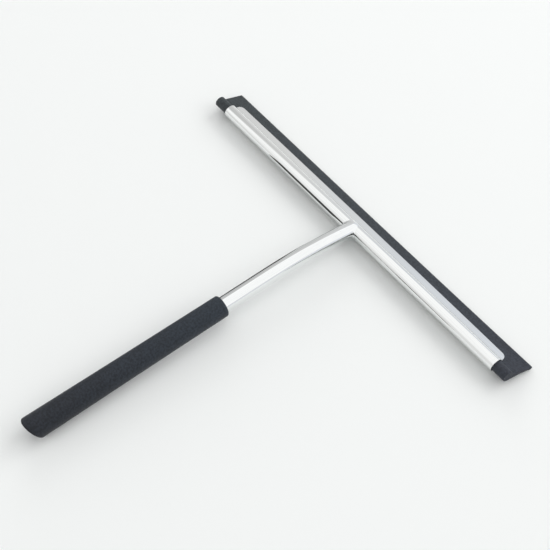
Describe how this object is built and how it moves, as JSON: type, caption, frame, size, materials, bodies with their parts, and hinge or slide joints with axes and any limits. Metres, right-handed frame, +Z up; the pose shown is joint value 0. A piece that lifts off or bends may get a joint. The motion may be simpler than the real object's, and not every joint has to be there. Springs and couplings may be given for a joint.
{
  "type": "window cleaning squeegee",
  "caption": "T-shaped hand squeegee: chrome channel head with a replaceable dark rubber blade, bent chrome tube handle and soft slanted grip.",
  "frame": {"origin": "on the table, at the middle of the box of the whole squeegee as it lies", "axes": "+X along the blade, +Y from the grip to the blade's lip, +Z up from the table"},
  "size_m": [0.251, 0.2293, 0.0166],
  "materials": {
    "chrome_channel": "polished chrome plate on folded steel",
    "chrome_tube": "polished chrome plate on steel tube",
    "blade_rubber": "matte extruded rubber",
    "grip_rubber": "soft-touch matte moulded rubber",
    "plug_plastic": "moulded"
  },
  "bodies": {
    "handle": {"head_channel": "chrome_channel", "handle_tube": "chrome_tube", "grip_sleeve": "grip_rubber", "handle_end_plug": "plug_plastic"},
    "blade": {"blade_rubber": "blade_rubber"}
  },
  "joints": [
    {"name": "blade_slide", "type": "slide", "parent": "handle", "child": "blade", "axis": [1, 0, 0], "range_m": [-0.24, 0.24]}
  ]
}
